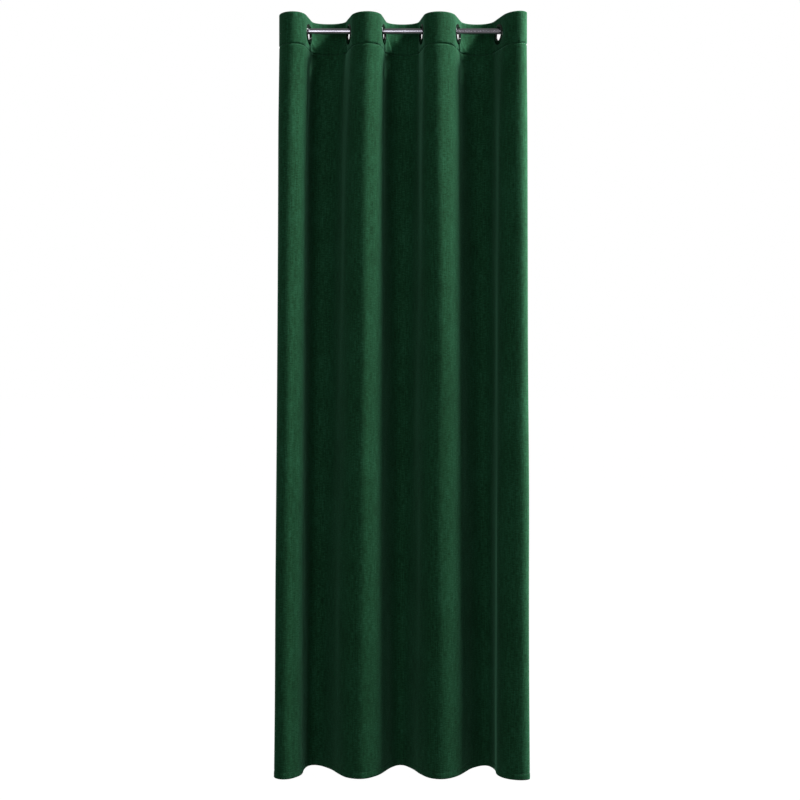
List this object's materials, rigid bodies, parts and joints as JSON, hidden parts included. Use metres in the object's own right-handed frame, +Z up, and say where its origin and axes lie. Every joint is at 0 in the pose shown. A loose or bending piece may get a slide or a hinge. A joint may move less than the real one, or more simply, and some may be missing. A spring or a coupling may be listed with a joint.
{
  "type": "velvet eyelet drape on curtain rod",
  "caption": "Floor-length velvet drape hanging in soft, uneven folds from a plain round curtain rod, which passes through the metal eyelets of its turned-over heading.",
  "frame": {"origin": "centre of the flat left end face of the curtain rod", "axes": "+X along the rod from its left end to its right end, +Z up, so the cloth hangs down -Z, and the velvet face looks towards -Y"},
  "size_m": [0.8312, 0.163, 2.5],
  "materials": {
    "velvet": "short dense pile, dark bottle green, soft sheen that turns pale along the lit folds",
    "ring_metal": "dark polished nickel",
    "rod_metal": "polished"
  },
  "bodies": {
    "root": {"velvet_panel": "velvet", "eyelet_front_1": "ring_metal", "eyelet_front_2": "ring_metal", "eyelet_front_3": "ring_metal", "eyelet_front_4": "ring_metal", "eyelet_front_5": "ring_metal", "eyelet_front_6": "ring_metal", "eyelet_back_1": "ring_metal", "eyelet_back_2": "ring_metal", "eyelet_back_3": "ring_metal", "eyelet_back_4": "ring_metal", "eyelet_back_5": "ring_metal", "eyelet_back_6": "ring_metal", "curtain_rod": "rod_metal"}
  },
  "joints": []
}
